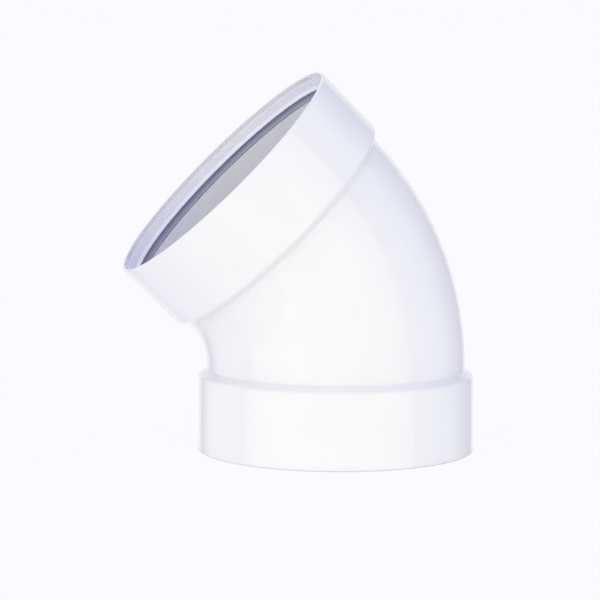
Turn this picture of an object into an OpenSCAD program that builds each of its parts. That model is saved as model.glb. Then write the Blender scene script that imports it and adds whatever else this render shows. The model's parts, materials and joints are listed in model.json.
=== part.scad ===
// Socket-and-socket flue elbow for round boiler flue pipe.
// One moulded body turns the gas path through a shallow bend. Each end is a push-fit socket with
// a lip seal in a chamber just inside the mouth, and a snap-in ring that holds the seal there.
// Origin: on the lower socket's axis, at the plane where the pipe's end stops. The lower socket
// opens towards -Z, and the bend leans towards -X in the XZ plane.

/* [Flue pipe] */
// Outside diameter of the pipe that pushes into each socket
pipe_d = 100; // [98:0.5:102]
// Gap all round between the pipe and the socket bore
pipe_gap = 0.5; // [0.4:0.05:0.7]

/* [Bend] */
// Angle that the gas path turns through
bend_angle = 45; // [15:5:90]
// Radius of the bend, on its centre line
bend_r = 76.5; // [70:0.5:120]
// Wall thickness of the bend
bend_wall = 2.8; // [2.4:0.1:3.4]

/* [Socket] */
// Depth of the socket, from its mouth to the pipe stop
socket_depth = 28.5; // [26:0.5:45]
// Outside diameter of the socket at its mouth
mouth_d = 106.9; // [106.6:0.1:108]
// Outside diameter of the socket at its shoulder, which is a little less for draft
shoulder_d = 106.5; // [106.2:0.1:107]
// Height that the shoulder slopes through, from the socket's wall in to the bend
shoulder_slope = 2.8; // [2:0.1:3.5]
// Radius that rounds the shoulder's outer edge
shoulder_round = 2; // [1:0.1:2.5]
// Radius that rounds the rim's outer edge
rim_round = 0.5; // [0.3:0.05:0.6]

/* [Seal chamber] */
// Depth of the seal chamber, from the mouth to the step that backs the seal
chamber_depth = 9; // [8:0.5:12]
// Inside diameter of the seal chamber
chamber_d = 104.4; // [104:0.1:104.6]

/* [Retaining ring] */
// Distance from the mouth down to the ring's front face
ring_inset = 2; // [1.5:0.1:2.5]
// Length of the ring along the socket
ring_length = 4.3; // [4:0.1:4.6]
// Inside diameter of the ring, where the pipe passes through
ring_bore_d = 100.8; // [100.7:0.05:101]

/* [Lip seal] */
// Inside diameter of the seal's lip, pressed back as it is on a fitted pipe
lip_d = 100.7; // [100.6:0.05:100.9]

/* [Hidden] */

// Radii that follow from the diameters above
pipe_r = pipe_d / 2;
socket_r = pipe_r + pipe_gap;
bend_bore_r = pipe_r - bend_wall;
mouth_r = mouth_d / 2;
shoulder_r = shoulder_d / 2;
chamber_r = chamber_d / 2;
ring_bore_r = ring_bore_d / 2;
lip_r = lip_d / 2;

// Heights along a socket's axis: the pipe stop is at 0 and the mouth is below it
mouth_z = -socket_depth;
chamber_z = mouth_z + chamber_depth;
ring_front_z = mouth_z + ring_inset;
ring_back_z = ring_front_z + ring_length;
shoulder_z = 0.5;
bend_start_z = shoulder_z + shoulder_slope;

// Small edges of the moulded body
rim_inner_round = 0.3;
lead_in = 0.4;
stop_round = 0.3;
// Step where the mould's socket core and cavity meet those of the bend
core_step = 0.2;

// Snap fit between the ring's bead and the groove in the chamber's wall
ring_play = 0.05;
bead_height = 0.25;
bead_z = ring_front_z + 1.9;
bead_width = 1;
groove_gap = 0.1;

// Faces that the ring shows in the mouth: a steep outer face, then a funnel down to its bore
ring_front_r = chamber_r - 0.45;
funnel_top_r = ring_bore_r + 0.9;
funnel_top_z = ring_front_z + 2.9;
ring_land = 0.35;

// Cross-section of the seal
seal_face_r = chamber_r - 0.35;
lip_thickness = 0.45;
relief_width = 0.5;
relief_depth = 1.3;

// Roundness of everything that is turned about an axis
$fn = 180;
arc_steps = 8;

// Points along an arc about [cx, cy], from angle a0 to angle a1
function arc(cx, cy, r, a0, a1) = [
  for (i = [0:arc_steps])
    let (a = a0 + (a1 - a0) * i / arc_steps)
      [cx + r * cos(a), cy + r * sin(a)]
];

// Puts something that is drawn for the lower socket on to the upper socket
module at_upper_socket() {
  translate([-bend_r, 0, bend_start_z])
    rotate([0, -bend_angle, 0])
      translate([bend_r, 0, bend_start_z])
        rotate([180, 0, 0])
          children();
}

// Wall of one socket as a profile: up the outside from the rim, over the shoulder, down the inside
module socket_wall() {
  turn = atan2(shoulder_r - pipe_r - core_step, shoulder_slope);
  tangent = shoulder_round * tan(turn / 2);
  rim_wall = mouth_r - rim_round;
  groove_r = chamber_r + bead_height;
  groove_low = bead_z - groove_gap;
  groove_high = bead_z + bead_width + groove_gap;
  outside = concat(
    arc(rim_wall, mouth_z + rim_round, rim_round, -90, 0),
    arc(shoulder_r - shoulder_round, shoulder_z - tangent, shoulder_round, 0, turn),
    [[pipe_r + core_step, bend_start_z]]
  );
  inside = concat(
    [[bend_bore_r + core_step, bend_start_z]],
    arc(bend_bore_r + core_step + stop_round, stop_round, stop_round, 180, 270),
    [
      [socket_r, 0],
      [socket_r, chamber_z + lead_in],
      [socket_r + lead_in, chamber_z],
      [chamber_r, chamber_z],
      [chamber_r, groove_high],
      [groove_r, groove_high - bead_height],
      [groove_r, groove_low + bead_height],
      [chamber_r, groove_low]
    ],
    arc(chamber_r + rim_inner_round, mouth_z + rim_inner_round, rim_inner_round, 180, 270)
  );
  rotate_extrude() polygon(concat(outside, inside));
}

// Curved pipe between the two sockets
module bend() {
  translate([-bend_r, 0, bend_start_z])
    rotate([90, 0, 0])
      rotate_extrude(angle = bend_angle)
        translate([bend_r, 0])
          difference() {
            circle(r = pipe_r);
            circle(r = bend_bore_r);
          }
}

// Lip seal, with its lip leaning away from the mouth and a relief groove behind it
module lip_seal() {
  lip_tip_z = chamber_z - 0.3;
  lip_back_r = lip_r + lip_thickness;
  rotate_extrude()
    polygon([
      [chamber_r, ring_back_z],
      [chamber_r, chamber_z],
      [lip_back_r + relief_width, chamber_z],
      [lip_back_r + relief_width, chamber_z - relief_depth],
      [lip_back_r + 0.1, chamber_z - relief_depth],
      [lip_back_r, lip_tip_z + 0.1],
      [lip_r + 0.1, lip_tip_z + 0.1],
      [lip_r, lip_tip_z],
      [lip_r, lip_tip_z - 0.2],
      [seal_face_r - 0.3, ring_back_z + 0.5],
      [seal_face_r, ring_back_z]
    ]);
}

// Ring that snaps into the seal chamber, holds the seal and guides the pipe in
module retaining_ring() {
  outer_r = chamber_r - ring_play;
  bead_r = outer_r + bead_height;
  rotate_extrude()
    polygon([
      [ring_front_r, ring_front_z],
      [outer_r, ring_front_z],
      [outer_r, bead_z],
      [bead_r, bead_z + bead_height],
      [bead_r, bead_z + bead_width - bead_height],
      [outer_r, bead_z + bead_width],
      [outer_r, ring_back_z],
      [ring_bore_r, ring_back_z],
      [ring_bore_r, ring_back_z - ring_land],
      [funnel_top_r, funnel_top_z]
    ]);
}

module elbow_body() {
  color("white")
    union() {
      socket_wall();
      bend();
      at_upper_socket() socket_wall();
    }
}

module lower_seal() {
  color("slategray") lip_seal();
}

module upper_seal() {
  color("slategray") at_upper_socket() lip_seal();
}

module lower_retaining_ring() {
  color("whitesmoke") retaining_ring();
}

module upper_retaining_ring() {
  color("whitesmoke") at_upper_socket() retaining_ring();
}

elbow_body();
lower_seal();
upper_seal();
lower_retaining_ring();
upper_retaining_ring();
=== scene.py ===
# %% [markdown]
# # A white push-fit flue elbow
# This lesson models the looks of a moulded flue elbow in Blender, round a CAD model. The elbow turns
# the gas path of a boiler flue through 45 degrees. Each end is a socket with a thin rim, a snap-in ring,
# and a lip seal behind the ring.
#
# The CAD model is loaded first, as a frame. It stays where it is, and the sizes below are measured on
# it, so the finished pieces are as big as the CAD part.

# %% Load the frame
import json
import math

import bmesh
import bpy
from mathutils import Matrix, Vector


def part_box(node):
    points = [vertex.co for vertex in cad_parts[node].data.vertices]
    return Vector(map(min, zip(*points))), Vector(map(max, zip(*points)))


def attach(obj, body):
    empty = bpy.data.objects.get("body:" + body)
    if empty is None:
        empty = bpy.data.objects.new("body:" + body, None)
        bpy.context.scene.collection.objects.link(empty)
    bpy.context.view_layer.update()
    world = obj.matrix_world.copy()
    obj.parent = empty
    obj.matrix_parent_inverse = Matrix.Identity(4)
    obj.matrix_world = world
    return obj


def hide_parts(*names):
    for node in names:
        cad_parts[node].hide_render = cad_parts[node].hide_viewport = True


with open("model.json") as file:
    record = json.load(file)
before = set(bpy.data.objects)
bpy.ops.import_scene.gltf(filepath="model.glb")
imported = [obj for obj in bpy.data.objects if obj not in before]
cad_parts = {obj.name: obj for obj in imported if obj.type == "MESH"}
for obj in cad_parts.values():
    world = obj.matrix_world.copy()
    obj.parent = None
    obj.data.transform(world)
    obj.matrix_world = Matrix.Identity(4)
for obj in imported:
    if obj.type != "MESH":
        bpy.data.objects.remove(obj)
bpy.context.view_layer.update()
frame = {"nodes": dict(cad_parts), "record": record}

bpy.ops.object.select_all(action="DESELECT")
print("CAD nodes:", sorted(frame["nodes"]))

# %% [markdown]
# ## Sizes, read from the frame
# Both sockets are mounts in the record. A mount gives the point where the pushed-in pipe stops, the way
# the pipe leaves, and the bore's radius. The two axes cross at one point, and both stops are equally
# far from it. A bend that starts a little above each stop has to be tangent to both axes, which gives
# its radius: the distance to the crossing, less that start, over the tangent of half the angle.

# %% Sockets and bend
MM = 0.001
mounts = {mount["name"]: mount for mount in frame["record"]["mounts"]}
lower_stop = Vector(mounts["lower_socket"]["pos_m"])
upper_stop = Vector(mounts["upper_socket"]["pos_m"])
upper_way = Vector(mounts["upper_socket"]["axis"]).normalized()
socket_r = mounts["lower_socket"]["dims"]["r_mm"] * MM

BEND_START = 3.3 * MM
bend_angle = math.atan2(-upper_way.x, upper_way.z)
axis_crossing = (lower_stop.x - upper_stop.x) / math.sin(bend_angle)
bend_r = (axis_crossing - BEND_START) / math.tan(bend_angle / 2)
bend_centre = Vector((-bend_r, 0, BEND_START))
print("bend: radius", round(bend_r / MM, 2), "mm, angle", round(math.degrees(bend_angle), 2))

# %% [markdown]
# The wall's radii and heights come next. Heights are measured from the pipe stop, and the mouth is below
# it. The mouth, the ring and the seal are the corners of their CAD boxes.

# %% Radii and heights of a socket
PIPE_GAP = 0.5 * MM
WALL = 2.8 * MM
SHOULDER_Z = 0.5 * MM
SHOULDER_DRAFT = 0.2 * MM
SHOULDER_ROUND = 2.0 * MM
RIM_ROUND = 0.5 * MM
RIM_INNER_ROUND = 0.3 * MM
FINE_ROUND = 0.12 * MM
LEAD_IN = 0.4 * MM

body_low, body_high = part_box("elbow_body")
ring_low, ring_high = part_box("lower_retaining_ring")
seal_low, seal_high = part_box("lower_seal")
pipe_r = socket_r - PIPE_GAP
bore_r = pipe_r - WALL
mouth_r = body_high.y
mouth_z = body_low.z
shoulder_r = mouth_r - SHOULDER_DRAFT
chamber_r = seal_high.y
chamber_z = seal_high.z
print("socket, mm: mouth radius", round(mouth_r / MM, 2), "depth", round(-mouth_z / MM, 2))
print("seal chamber, mm: radius", round(chamber_r / MM, 2), "step at", round(chamber_z / MM, 2))

# %% [markdown]
# ## Outlines with rounded corners
# Every piece is round, so its shape is one outline, turned about an axis. A moulding has no perfectly
# sharp corner: each one has a small radius, and that radius is what catches the light. The helper below
# takes corners as (radius, height, rounding) and puts an arc in each. Its spokes come from slerp, which
# returns a unit vector. It adds a point just outside each end of an arc. These holding points keep the
# smooth shading of the arc off the flat stretch beside it.

# %% Rounding an outline
ARC_STEPS = 6
HOLD = 0.25 * MM


def rounded(corners, closed=False):
    outline = []
    last = len(corners) - 1
    for number, (radius, height, rounding) in enumerate(corners):
        corner = Vector((radius, height))
        if rounding == 0 or (not closed and number in (0, last)):
            outline.append(corner)
            continue
        before = Vector(corners[number - 1][:2]) - corner
        after = Vector(corners[(number + 1) % len(corners)][:2]) - corner
        half = before.angle(after) / 2
        reach = rounding / math.tan(half)
        start = corner + before.normalized() * reach
        end = corner + after.normalized() * reach
        middle = (before.normalized() + after.normalized()).normalized()
        centre = corner + middle * rounding / math.sin(half)
        if before.length > 3 * (reach + HOLD):
            outline.append(start + before.normalized() * HOLD)
        for step in range(ARC_STEPS + 1):
            spoke = (start - centre).slerp(end - centre, step / ARC_STEPS)
            outline.append(centre + spoke * rounding)
        if after.length > 3 * (reach + HOLD):
            outline.append(end + after.normalized() * HOLD)
    return outline


# %% [markdown]
# ## Pulling a ring of edges along an outline
# A turned shape could come from Spin or the Screw modifier, but the elbow's outline also travels round
# the bend. So the body is drawn as a potter would pull it: one ring of edges is extruded, moved along the
# socket's axis and resized, once for each point of the outline. The ring stays selected, and it can go
# on round the bend with Spin. The axis is given as a point on it and its direction.

# %% Ring helpers
SEGMENTS = 176
MERGE_GAP = 0.001 * MM
SMOOTH_ANGLE = math.radians(40)


def start_ring(name, outline):
    first = outline[0]
    bpy.ops.object.select_all(action="DESELECT")
    bpy.ops.mesh.primitive_circle_add(
        vertices=SEGMENTS, radius=first.x, fill_type="NOTHING", location=(0, 0, first.y)
    )
    piece = bpy.context.object
    piece.name = name
    piece.data.name = name
    bpy.ops.object.transform_apply(location=True, rotation=True, scale=True)
    bpy.ops.object.mode_set(mode="EDIT")
    bpy.ops.mesh.select_all(action="SELECT")
    return piece


def pull_ring(outline, stop, way):
    for here, there in zip(outline, outline[1:]):
        step = way * (there.y - here.y)
        centre = stop + way * there.y
        scale = there.x / here.x
        bpy.ops.mesh.extrude_region_move(TRANSFORM_OT_translate={"value": step})
        bpy.ops.transform.resize(value=(scale, scale, scale), center_override=centre)


def close_ring(piece):
    bpy.ops.mesh.select_all(action="SELECT")
    bpy.ops.mesh.remove_doubles(threshold=MERGE_GAP)
    bpy.ops.mesh.normals_make_consistent(inside=False)
    bpy.ops.object.mode_set(mode="OBJECT")
    bpy.ops.object.shade_smooth_by_angle(angle=SMOOTH_ANGLE)
    report_piece(piece)


def report_piece(piece):
    mesh = bmesh.new()
    mesh.from_mesh(piece.data)
    open_edges = sum(not edge.is_manifold for edge in mesh.edges)
    volume = mesh.calc_volume(signed=True) / MM**3
    print(piece.name, "faces", len(mesh.faces), "open edges", open_edges, "mm3", round(volume))
    mesh.free()


# %% [markdown]
# ## The elbow body
# The outline of a socket goes up its outside, from the rim to the shoulder that slopes in to the bend. The
# wall has a little draft, so that the moulding leaves its tool. Inside, it comes down from the bend's
# bore to the pipe stop, along the plain bore, out into the seal chamber past the groove that the ring
# snaps into, and back to the rim.

# %% Socket outlines
CREASE = 0.3 * MM
CREASE_HOLD = 0.1 * MM
GROOVE_DEEP = 0.25 * MM
GROOVE_LOW = 1.8 * MM
GROOVE_HIGH = 3.0 * MM
groove_low = ring_low.z + GROOVE_LOW
groove_high = ring_low.z + GROOVE_HIGH
groove_r = chamber_r + GROOVE_DEEP
rim_r = (mouth_r + chamber_r) / 2
slope = math.atan2(shoulder_r - pipe_r, BEND_START - SHOULDER_Z)
crease_z = BEND_START - CREASE_HOLD - CREASE * math.tan(slope / 2)

outside = rounded([
    (rim_r, mouth_z, 0),
    (mouth_r, mouth_z, RIM_ROUND),
    (shoulder_r, SHOULDER_Z, SHOULDER_ROUND),
    (pipe_r, crease_z, CREASE),
    (pipe_r, BEND_START, 0),
])

inside = rounded([
    (bore_r, BEND_START, 0),
    (bore_r, 0, RIM_INNER_ROUND),
    (socket_r, 0, RIM_INNER_ROUND),
    (socket_r, chamber_z + LEAD_IN, FINE_ROUND),
    (socket_r + LEAD_IN, chamber_z, FINE_ROUND),
    (chamber_r, chamber_z, FINE_ROUND),
    (chamber_r, groove_high, 0),
    (groove_r, groove_high - GROOVE_DEEP, 0),
    (groove_r, groove_low + GROOVE_DEEP, 0),
    (chamber_r, groove_low, 0),
    (chamber_r, mouth_z, RIM_INNER_ROUND),
    (rim_r, mouth_z, 0),
])
print("outline points: outside", len(outside), "inside", len(inside))

# %% [markdown]
# The ring travels in one go: up the outside of the lower socket, round the bend, up the outside of the
# upper socket to its rim, and back down the inside. On the upper socket the same outline is followed
# from its far end, about the leaning axis. Back at the lower rim it meets its own first edges, and
# merging them closes the wall. Spin turns by the left hand about the axis that it is given, so +Y takes
# the ring from straight up towards -X, and -Y brings it back.

# %% Pull the body
BEND_STEPS = 48
UP = Vector((0, 0, 1))
SPIN_UP = Vector((0, 1, 0))

body = start_ring("flue_elbow_body", outside)
pull_ring(outside, lower_stop, UP)
bpy.ops.mesh.spin(steps=BEND_STEPS, angle=bend_angle, center=bend_centre, axis=SPIN_UP)
pull_ring(outside[::-1], upper_stop, -upper_way)
pull_ring(inside[::-1], upper_stop, -upper_way)
bpy.ops.mesh.spin(steps=BEND_STEPS, angle=bend_angle, center=bend_centre, axis=-SPIN_UP)
pull_ring(inside, lower_stop, UP)
close_ring(body)

# %% [markdown]
# ## The retaining ring
# The ring snaps into the mouth and holds the seal. Its front face is narrow, and its inside narrows like a
# funnel, first gently and then steeply, to guide the pipe in. A small bead round its outside sits in the
# body's groove. It is a closed outline, so the last pull comes back to the first point. The ring is
# modelled once, at the lower socket, and a copy with its own mesh goes to the upper one.

# %% Make the rings
RING_PLAY = 0.05 * MM
RING_FRONT = 0.45 * MM
FRONT_ROUND = 0.25 * MM
RING_LAND = 0.35 * MM
FUNNEL_WIDE = 0.9 * MM
FUNNEL_TOP = 2.9 * MM
BEAD_LOW = 1.9 * MM
BEAD_HIGH = 2.9 * MM
RING_BORE_GAP = 0.4 * MM

ring_outer_r = chamber_r - RING_PLAY
bead_r = ring_high.y
bead_side = bead_r - ring_outer_r
ring_bore_r = pipe_r + RING_BORE_GAP
bead_low = ring_low.z + BEAD_LOW
bead_high = ring_low.z + BEAD_HIGH

ring_outline = rounded([
    (chamber_r - RING_FRONT, ring_low.z, FRONT_ROUND),
    (ring_outer_r, ring_low.z, FINE_ROUND),
    (ring_outer_r, bead_low, 0),
    (bead_r, bead_low + bead_side, 0),
    (bead_r, bead_high - bead_side, 0),
    (ring_outer_r, bead_high, 0),
    (ring_outer_r, ring_high.z, FINE_ROUND),
    (ring_bore_r, ring_high.z, FINE_ROUND),
    (ring_bore_r, ring_high.z - RING_LAND, FINE_ROUND),
    (ring_bore_r + FUNNEL_WIDE, ring_low.z + FUNNEL_TOP, RIM_INNER_ROUND),
], closed=True)


def turned_piece(name, outline):
    piece = start_ring(name, outline)
    pull_ring(outline + outline[:1], lower_stop, UP)
    close_ring(piece)
    return piece


def copy_to_upper_socket(piece, name):
    copy = piece.copy()
    copy.data = piece.data.copy()
    copy.name = name
    copy.data.name = name
    bpy.context.scene.collection.objects.link(copy)
    lean = Matrix.Rotation(-bend_angle, 4, "Y") @ Matrix.Rotation(math.pi, 4, "X")
    copy.matrix_world = Matrix.Translation(upper_stop) @ lean
    bpy.ops.object.select_all(action="DESELECT")
    copy.select_set(True)
    bpy.context.view_layer.objects.active = copy
    bpy.ops.object.transform_apply(location=True, rotation=True, scale=True)
    report_piece(copy)
    return copy


lower_ring = turned_piece("lower_snap_ring", ring_outline)
upper_ring = copy_to_upper_socket(lower_ring, "upper_snap_ring")

# %% [markdown]
# ## The lip seal
# The seal fills the chamber behind the ring. Its face starts deep behind the ring's edge, which leaves a
# dark slit there, and then slopes in and away from the mouth to a soft lip. The lip stands just proud of
# the bore, pressed back as on a fitted pipe. A relief groove behind it lets the lip bend.

# %% Make the seals
SEAL_FACE = 0.35 * MM
LIP_GAP = 0.35 * MM
LIP_THICK = 0.45 * MM
LIP_DRAFT = 0.1 * MM
LIP_NOSE = 0.2 * MM
LIP_SET_BACK = 0.13 * MM
FACE_IN = 0.1 * MM
FACE_DEEP = 0.9 * MM
RELIEF_WIDE = 0.4 * MM
RELIEF_DEEP = 0.8 * MM
lip_r = pipe_r + LIP_GAP
lip_back_r = lip_r + LIP_THICK
lip_z = chamber_z - LIP_SET_BACK
relief_z = chamber_z - RELIEF_DEEP
relief_r = lip_back_r + LIP_DRAFT + RELIEF_WIDE
face_r = chamber_r - SEAL_FACE

seal_outline = rounded([
    (face_r, seal_low.z, FINE_ROUND),
    (chamber_r, seal_low.z, FINE_ROUND),
    (chamber_r, chamber_z, FINE_ROUND),
    (relief_r, chamber_z, FINE_ROUND),
    (relief_r, relief_z, FINE_ROUND),
    (lip_back_r + LIP_DRAFT, relief_z, FINE_ROUND),
    (lip_back_r, lip_z + LIP_DRAFT, FINE_ROUND),
    (lip_r, lip_z + LIP_DRAFT, FINE_ROUND),
    (lip_r, lip_z - LIP_NOSE, FINE_ROUND),
    (face_r - FACE_IN, seal_low.z + FACE_DEEP, RIM_INNER_ROUND),
], closed=True)

lower_seal = turned_piece("lower_lip_seal", seal_outline)
upper_seal = copy_to_upper_socket(lower_seal, "upper_lip_seal")

# %% [markdown]
# ## Surface effects that the materials share
# Node groups hold what more than one material uses. They put out only masks and heights. All patterns
# read Object coordinates, which are in metres here, so a noise scale of 1000 means details of a
# millimetre.

# %% Node helpers
def add_node(tree, kind, values=None, **settings):
    node = tree.nodes.new(kind)
    for name, value in settings.items():
        setattr(node, name, value)
    for socket, value in (values or {}).items():
        node.inputs[socket].default_value = value
    return node


def new_group(name, inputs, outputs):
    group = bpy.data.node_groups.new(name, "ShaderNodeTree")
    for label, value in inputs.items():
        socket = group.interface.new_socket(label, in_out="INPUT", socket_type="NodeSocketFloat")
        socket.default_value = value
    for label in outputs:
        group.interface.new_socket(label, in_out="OUTPUT", socket_type="NodeSocketFloat")
    return group, group.nodes.new("NodeGroupInput"), group.nodes.new("NodeGroupOutput")


def place_group(tree, group, values=None):
    node = tree.nodes.new("ShaderNodeGroup")
    node.node_tree = group
    for socket, value in (values or {}).items():
        node.inputs[socket].default_value = value
    return node


# %% [markdown]
# ### Moulded skin
# Moulded plastic is never dead flat. It has a fine orange peel, a broad ripple from the way the melt
# flowed and shrank, and patches where it is a little duller. The group gives a height for the first two
# and a mask for the third.

# %% Moulded skin group
def make_moulded_skin():
    group, inside_group, out = new_group(
        "Moulded skin",
        {"Peel scale": 900.0, "Ripple scale": 45.0, "Patch scale": 60.0, "Peel share": 0.25},
        ["Height", "Patches"],
    )
    place = add_node(group, "ShaderNodeTexCoord")
    peel = add_node(group, "ShaderNodeTexNoise", {"Detail": 2.0, "Roughness": 0.45})
    ripple = add_node(group, "ShaderNodeTexNoise", {"Detail": 1.0, "Roughness": 0.4})
    patch = add_node(group, "ShaderNodeTexNoise", {"Detail": 4.0, "Roughness": 0.6})
    mix = add_node(group, "ShaderNodeMix", data_type="FLOAT")
    spread = add_node(group, "ShaderNodeMapRange", {"From Min": 0.35, "From Max": 0.65})
    for noise, label in ((peel, "Peel scale"), (ripple, "Ripple scale"), (patch, "Patch scale")):
        group.links.new(place.outputs["Object"], noise.inputs["Vector"])
        group.links.new(inside_group.outputs[label], noise.inputs["Scale"])
    group.links.new(inside_group.outputs["Peel share"], mix.inputs["Factor"])
    group.links.new(ripple.outputs["Fac"], mix.inputs["A"])
    group.links.new(peel.outputs["Fac"], mix.inputs["B"])
    group.links.new(patch.outputs["Fac"], spread.inputs["Value"])
    group.links.new(mix.outputs["Result"], out.inputs["Height"])
    group.links.new(spread.outputs["Result"], out.inputs["Patches"])
    return group


moulded_skin = make_moulded_skin()
print("group:", moulded_skin.name)

# %% [markdown]
# ### Handling marks
# Parts rub against each other in their box. The marks are very fine scuffs, a few of them, in patches. The
# scuff lines are thin bands of a stretched noise, and a second noise keeps them to some areas. Edges are
# touched the most, so the group also finds them: the Bevel node gives the normal that a slightly rounded
# edge would have, and where that differs from the true normal, there is an edge.

# %% Handling marks group
def make_handling_marks():
    group, inside_group, out = new_group(
        "Handling marks",
        {"Scuff scale": 140.0, "Area scale": 22.0, "Edge width": 0.0003},
        ["Scuffs", "Edges"],
    )
    place = add_node(group, "ShaderNodeTexCoord")
    stretch = add_node(group, "ShaderNodeMapping")
    stretch.inputs["Scale"].default_value = (1.0, 0.35, 2.2)
    stretch.inputs["Rotation"].default_value = (0.5, 0.3, 0.9)
    line = add_node(group, "ShaderNodeTexNoise", {"Detail": 5.0, "Roughness": 0.7})
    off_middle = add_node(group, "ShaderNodeMath", {1: 0.5}, operation="SUBTRACT")
    distance = add_node(group, "ShaderNodeMath", operation="ABSOLUTE")
    thin = add_node(
        group, "ShaderNodeMapRange", {"From Min": 0.0, "From Max": 0.012, "To Min": 1.0, "To Max": 0.0}
    )
    area = add_node(group, "ShaderNodeTexNoise", {"Detail": 2.0})
    some = add_node(group, "ShaderNodeMapRange", {"From Min": 0.5, "From Max": 0.7})
    scuffs = add_node(group, "ShaderNodeMath", operation="MULTIPLY")
    bevel = add_node(group, "ShaderNodeBevel", samples=4)
    surface = add_node(group, "ShaderNodeNewGeometry")
    agree = add_node(group, "ShaderNodeVectorMath", operation="DOT_PRODUCT")
    edges = add_node(
        group, "ShaderNodeMapRange", {"From Min": 0.97, "From Max": 0.75, "To Min": 0.0, "To Max": 1.0}
    )
    link = group.links.new
    link(place.outputs["Object"], stretch.inputs["Vector"])
    link(stretch.outputs["Vector"], line.inputs["Vector"])
    link(inside_group.outputs["Scuff scale"], line.inputs["Scale"])
    link(line.outputs["Fac"], off_middle.inputs[0])
    link(off_middle.outputs["Value"], distance.inputs[0])
    link(distance.outputs["Value"], thin.inputs["Value"])
    link(place.outputs["Object"], area.inputs["Vector"])
    link(inside_group.outputs["Area scale"], area.inputs["Scale"])
    link(area.outputs["Fac"], some.inputs["Value"])
    link(thin.outputs["Result"], scuffs.inputs[0])
    link(some.outputs["Result"], scuffs.inputs[1])
    link(scuffs.outputs["Value"], out.inputs["Scuffs"])
    link(inside_group.outputs["Edge width"], bevel.inputs["Radius"])
    link(bevel.outputs["Normal"], agree.inputs[0])
    link(surface.outputs["Normal"], agree.inputs[1])
    link(agree.outputs["Value"], edges.inputs["Value"])
    link(edges.outputs["Result"], out.inputs["Edges"])
    return group


handling_marks = make_handling_marks()
print("group:", handling_marks.name)

# %% [markdown]
# ## The materials
# All three are one Principled BSDF each, with the shared groups round it. The pattern is the same:
#
# - the patches tint the colour a very little, and the edges a little more;
# - patches and scuffs change the roughness;
# - the skin's height goes through a Bump node.
#
# The body is glossy white polypropylene, the rings are the same plastic with a satin finish, and the
# seals are rubber, much rougher and with a powdery bloom. The blue cast of the whites is painted shade,
# for the blue shade inside the mouths. The seals' dark slate blue is partly the rubber's own grey and
# partly painted shade for the recess behind the ring.

# %% Material builder
def make_material(name, colour, tint, edge_tint, roughness, bump, skin_values, shader_values):
    material = bpy.data.materials.new(name)
    material.use_nodes = True
    tree = material.node_tree
    shader = tree.nodes["Principled BSDF"]
    for socket, value in shader_values.items():
        shader.inputs[socket].default_value = value
    skin = place_group(tree, moulded_skin, skin_values)
    marks = place_group(tree, handling_marks)
    patched = add_node(tree, "ShaderNodeMix", data_type="RGBA")
    patched.inputs["A"].default_value = (*colour, 1)
    patched.inputs["B"].default_value = (*tint, 1)
    edged = add_node(tree, "ShaderNodeMix", data_type="RGBA")
    edged.inputs["B"].default_value = (*edge_tint, 1)
    smooth, dull, scuffed = roughness
    patch_rough = add_node(tree, "ShaderNodeMapRange", {"To Min": smooth, "To Max": dull})
    scuff_rough = add_node(tree, "ShaderNodeMath", {1: scuffed}, operation="MULTIPLY")
    rough = add_node(tree, "ShaderNodeMath", operation="ADD", use_clamp=True)
    strength, depth = bump
    relief = add_node(tree, "ShaderNodeBump", {"Strength": strength, "Distance": depth})
    link = tree.links.new
    link(skin.outputs["Patches"], patched.inputs["Factor"])
    link(patched.outputs["Result"], edged.inputs["A"])
    link(marks.outputs["Edges"], edged.inputs["Factor"])
    link(edged.outputs["Result"], shader.inputs["Base Color"])
    link(skin.outputs["Patches"], patch_rough.inputs["Value"])
    link(marks.outputs["Scuffs"], scuff_rough.inputs[0])
    link(patch_rough.outputs["Result"], rough.inputs[0])
    link(scuff_rough.outputs["Value"], rough.inputs[1])
    link(rough.outputs["Value"], shader.inputs["Roughness"])
    link(skin.outputs["Height"], relief.inputs["Height"])
    link(relief.outputs["Normal"], shader.inputs["Normal"])
    return material


# The blue cast of both whites is painted shade: it turns the shade inside the mouths blue, and the real
# plastic may be neutral white.
gloss_white = make_material(
    "Gloss white plastic",
    colour=(0.75, 0.755, 0.836),
    tint=(0.735, 0.74, 0.826),
    edge_tint=(0.77, 0.775, 0.846),
    roughness=(0.05, 0.09, 0.15),
    bump=(0.25, 0.02 * MM),
    skin_values={},
    shader_values={"IOR": 1.55},
)
satin_white = make_material(
    "Satin white plastic",
    colour=(0.77, 0.765, 0.9),
    tint=(0.75, 0.745, 0.89),
    edge_tint=(0.8, 0.795, 0.92),
    roughness=(0.22, 0.3, 0.12),
    bump=(0.3, 0.02 * MM),
    skin_values={"Peel scale": 1400.0},
    shader_values={"IOR": 1.49},
)
# The seal's dark slate blue is partly the rubber's own grey and partly painted shade: it darkens the
# recess behind the ring, where shade falls.
seal_rubber_with_shade = make_material(
    "Seal rubber with painted shade",
    colour=(0.32, 0.33, 0.46),
    tint=(0.28, 0.29, 0.43),
    edge_tint=(0.37, 0.38, 0.51),
    roughness=(0.45, 0.6, 0.1),
    bump=(0.4, 0.03 * MM),
    skin_values={"Peel scale": 2500.0, "Peel share": 0.7},
    shader_values={"IOR": 1.5},
)


# %% [markdown]
# Each piece gets its material, rides on the one body of the frame, and stands for its CAD node.

# %% Dress the pieces
def dress(piece, material, node):
    piece.data.materials.clear()
    piece.data.materials.append(material)
    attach(piece, "root")
    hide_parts(node)


dress(body, gloss_white, "elbow_body")
dress(lower_ring, satin_white, "lower_retaining_ring")
dress(upper_ring, satin_white, "upper_retaining_ring")
dress(lower_seal, seal_rubber_with_shade, "lower_seal")
dress(upper_seal, seal_rubber_with_shade, "upper_seal")

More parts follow.
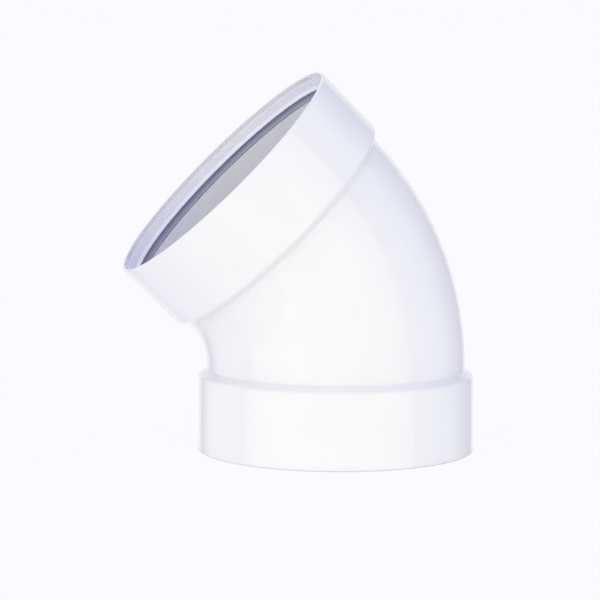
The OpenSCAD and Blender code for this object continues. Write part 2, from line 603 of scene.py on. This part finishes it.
# %% [markdown]
# ## The studio
# The elbow stands on a pale table that runs on without an edge. The camera sees it glow evenly, with a
# small share of plain matt white mixed in. All other rays pass through it, so the light of the studio
# also comes up from below, as on a light table. Only right under the foot is it solid and matt for
# every ray. That closes the lower mouth, which darkens the bore, and it draws a fine line of contact
# shadow along the rim.

# %% Table
PALE = (0.965, 0.957, 1.0)
TABLE_SIZE = 60.0
TABLE_GLOW = 1.004
MATT_SHARE = 0.03
MATT_WHITE = (0.9, 0.9, 0.93, 1)
MATT_ROUGHNESS = 0.9
FOOT_PATCH_R = 54.5 * MM

bpy.ops.object.select_all(action="DESELECT")
bpy.ops.mesh.primitive_plane_add(size=TABLE_SIZE, location=(0, 0, mouth_z))
table = bpy.context.object
table.name = "studio_table"

pale = bpy.data.materials.new("Pale table")
pale.use_nodes = True
tree = pale.node_tree
matt = tree.nodes["Principled BSDF"]
matt.inputs["Base Color"].default_value = MATT_WHITE
matt.inputs["Roughness"].default_value = MATT_ROUGHNESS
matt.inputs["Specular IOR Level"].default_value = 0.0
glow = add_node(tree, "ShaderNodeEmission", {"Color": (*PALE, 1), "Strength": TABLE_GLOW})
seen_top = add_node(tree, "ShaderNodeMixShader", {"Fac": MATT_SHARE})
clear = add_node(tree, "ShaderNodeBsdfTransparent")
place = add_node(tree, "ShaderNodeTexCoord")
from_axis = add_node(tree, "ShaderNodeVectorMath", operation="LENGTH")
under_foot = add_node(tree, "ShaderNodeMath", {1: FOOT_PATCH_R}, operation="LESS_THAN")
unseen_top = add_node(tree, "ShaderNodeMixShader")
ray = add_node(tree, "ShaderNodeLightPath")
table_top = add_node(tree, "ShaderNodeMixShader")
link = tree.links.new
link(glow.outputs["Emission"], seen_top.inputs[1])
link(matt.outputs["BSDF"], seen_top.inputs[2])
link(place.outputs["Object"], from_axis.inputs[0])
link(from_axis.outputs["Value"], under_foot.inputs[0])
link(under_foot.outputs["Value"], unseen_top.inputs["Fac"])
link(clear.outputs["BSDF"], unseen_top.inputs[1])
link(matt.outputs["BSDF"], unseen_top.inputs[2])
link(ray.outputs["Is Camera Ray"], table_top.inputs["Fac"])
link(unseen_top.outputs["Shader"], table_top.inputs[1])
link(seen_top.outputs["Shader"], table_top.inputs[2])
link(table_top.outputs["Shader"], tree.nodes["Material Output"].inputs["Surface"])
table.data.materials.append(pale)
print("table: foot patch radius", round(FOOT_PATCH_R / MM, 1), "mm")

# %% [markdown]
# ### A light tent
# White gloss shows its surroundings, so the surroundings are what has to be built. The world is a tent of
# cloth walls. Each wall is a window in azimuth and elevation, with soft edges, and has its own light. A
# node group makes the window: it turns the direction of a ray into two angles, and fades to nothing
# beyond the window's edges. Angles are in radians, azimuth runs from -Y towards +X.

# %% Tent wall group
def make_tent_wall():
    group, sizes, out = new_group(
        "Tent wall",
        {"Azimuth": 0.0, "Half width": 1.0, "Elevation": 0.0, "Half height": 1.0, "Soft edge": 0.1},
        ["Mask"],
    )
    link = group.links.new
    way = add_node(group, "ShaderNodeTexCoord")
    parts = add_node(group, "ShaderNodeSeparateXYZ")
    front = add_node(group, "ShaderNodeMath", {1: -1.0}, operation="MULTIPLY")
    azimuth = add_node(group, "ShaderNodeMath", operation="ARCTAN2")
    elevation = add_node(group, "ShaderNodeMath", operation="ARCSINE")
    link(way.outputs["Generated"], parts.inputs["Vector"])
    link(parts.outputs["Y"], front.inputs[0])
    link(parts.outputs["X"], azimuth.inputs[0])
    link(front.outputs["Value"], azimuth.inputs[1])
    link(parts.outputs["Z"], elevation.inputs[0])
    mask = add_node(group, "ShaderNodeMath", operation="MULTIPLY")
    for place, (angle, middle, half) in enumerate((
        (azimuth, "Azimuth", "Half width"),
        (elevation, "Elevation", "Half height"),
    )):
        off = add_node(group, "ShaderNodeMath", operation="SUBTRACT")
        turn = add_node(group, "ShaderNodeMath", {1: math.pi, 2: -math.pi}, operation="WRAP")
        distance = add_node(group, "ShaderNodeMath", operation="ABSOLUTE")
        outer = add_node(group, "ShaderNodeMath", operation="ADD")
        inner = add_node(group, "ShaderNodeMath", operation="SUBTRACT")
        fade = add_node(group, "ShaderNodeMapRange", interpolation_type="SMOOTHSTEP")
        link(angle.outputs["Value"], off.inputs[0])
        link(sizes.outputs[middle], off.inputs[1])
        link(off.outputs["Value"], turn.inputs[0])
        link(turn.outputs["Value"], distance.inputs[0])
        link(sizes.outputs[half], outer.inputs[0])
        link(sizes.outputs["Soft edge"], outer.inputs[1])
        link(sizes.outputs[half], inner.inputs[0])
        link(sizes.outputs["Soft edge"], inner.inputs[1])
        link(distance.outputs["Value"], fade.inputs["Value"])
        link(outer.outputs["Value"], fade.inputs["From Min"])
        link(inner.outputs["Value"], fade.inputs["From Max"])
        link(fade.outputs["Result"], mask.inputs[place])
    link(mask.outputs["Value"], out.inputs["Mask"])
    return group


tent_wall = make_tent_wall()
print("group:", tent_wall.name)

# %% [markdown]
# One wide bright wall takes up the whole front, and a soft glow adds to it on either side of the camera.
# Its right side ends in a crisp edge, and that edge is the line where the highlight stops on the bend.
# Just past it the tent is dim, to shade the elbow's right. A bright back wall gives the outlines their
# thin light rim, and windows below lift the undersides. Shade is bluer than light, so the bare cloth is
# lilac.
#
# Each wall's row gives its azimuth seen from the camera, half width, elevation, half height and soft
# edge, all in degrees, and then the light that it adds to the cloth.

# %% World
CAMERA_AZIMUTH = math.radians(-10.304)
TENT_CLOTH = (0.5, 0.49, 0.603)
WALLS = {
    "front": (-6.5, 73.5, 7.5, 37.5, 1.5, (0.76, 0.76, 0.507)),
    "front right glow": (50, 20, 7.5, 37.5, 12, (0.3, 0.29, 0.163)),
    "front left glow": (-52, 28, 7.5, 37.5, 12, (0.26, 0.26, 0.201)),
    "right": (98, 20, 7.5, 37.5, 10, (0.35, 0.37, 0.431)),
    "back": (180, 25, 7.5, 37.5, 5, (0.48, 0.49, 0.354)),
    "left": (-112, 24, 7.5, 37.5, 10, (0.54, 0.53, 0.469)),
    "above in front": (0, 90, 70, 25, 10, (0.46, 0.48, 0.555)),
    "above behind": (180, 90, 70, 25, 10, (0.16, 0.19, 0.364)),
    "below in front": (0, 90, -60, 30, 8, (0.57, 0.55, 0.431)),
    "below behind": (180, 90, -60, 30, 8, (0.38, 0.43, 0.383)),
}
world = bpy.data.worlds.new("Light tent")
bpy.context.scene.world = world
world.use_nodes = True
tent = world.node_tree
light = add_node(tent, "ShaderNodeVectorMath", {0: TENT_CLOTH, 1: (0, 0, 0)}, operation="ADD")
for name, (azimuth, half_width, elevation, half_height, soft, colour) in WALLS.items():
    mask = place_group(tent, tent_wall, {
        "Azimuth": math.radians(azimuth) + CAMERA_AZIMUTH,
        "Half width": math.radians(half_width),
        "Elevation": math.radians(elevation),
        "Half height": math.radians(half_height),
        "Soft edge": math.radians(soft),
    })
    mask.label = name
    lit = add_node(tent, "ShaderNodeVectorMath", {0: colour}, operation="SCALE")
    both = add_node(tent, "ShaderNodeVectorMath", operation="ADD")
    tent.links.new(mask.outputs["Mask"], lit.inputs["Scale"])
    tent.links.new(light.outputs["Vector"], both.inputs[0])
    tent.links.new(lit.outputs["Vector"], both.inputs[1])
    light = both
cloth = tent.nodes["Background"]
seen = add_node(tent, "ShaderNodeBackground", {"Color": (*PALE, 1)})
world_ray = add_node(tent, "ShaderNodeLightPath")
either = add_node(tent, "ShaderNodeMixShader")
tent.links.new(light.outputs["Vector"], cloth.inputs["Color"])
tent.links.new(world_ray.outputs["Is Camera Ray"], either.inputs["Fac"])
tent.links.new(cloth.outputs["Background"], either.inputs[1])
tent.links.new(seen.outputs["Background"], either.inputs[2])
tent.links.new(either.outputs["Shader"], tent.nodes["World Output"].inputs["Surface"])
print("tent walls:", ", ".join(WALLS))

# %% [markdown]
# ## The camera
# A long lens stands about a metre off, a little to the left and a little above. The small shift only
# places the part in the frame. The view transform is Standard, so that white stays white.

# %% Camera
CAMERA_ELEVATION = math.radians(6.429)
CAMERA_ROLL = math.radians(0.21)
CAMERA_DISTANCE = 970.5 * MM
CAMERA_LENS = 151.2
CAMERA_SENSOR = 36
CAMERA_NEAR = 0.01
CAMERA_FAR = 200
CAMERA_SHIFT = (0.0458, 0.0145)
CAMERA_AIM = Vector((-25 * MM, 0, 26.5 * MM))

flat = math.cos(CAMERA_ELEVATION)
backwards = Vector((
    math.sin(CAMERA_AZIMUTH) * flat,
    -math.cos(CAMERA_AZIMUTH) * flat,
    math.sin(CAMERA_ELEVATION),
))
camera_data = bpy.data.cameras.new("camera")
camera_data.sensor_width = CAMERA_SENSOR
camera_data.lens = CAMERA_LENS
camera_data.shift_x, camera_data.shift_y = CAMERA_SHIFT
camera_data.clip_start = CAMERA_NEAR
camera_data.clip_end = CAMERA_FAR
camera = bpy.data.objects.new("camera", camera_data)
bpy.context.scene.collection.objects.link(camera)
level = backwards.to_track_quat("Z", "Y").to_matrix().to_4x4()
camera.matrix_world = (
    Matrix.Translation(CAMERA_AIM + backwards * CAMERA_DISTANCE)
    @ level
    @ Matrix.Rotation(CAMERA_ROLL, 4, "Z")
)
bpy.context.scene.camera = camera
bpy.context.scene.view_settings.view_transform = "Standard"
print("camera:", CAMERA_LENS, "mm lens,", round(CAMERA_DISTANCE / MM, 1), "mm away")
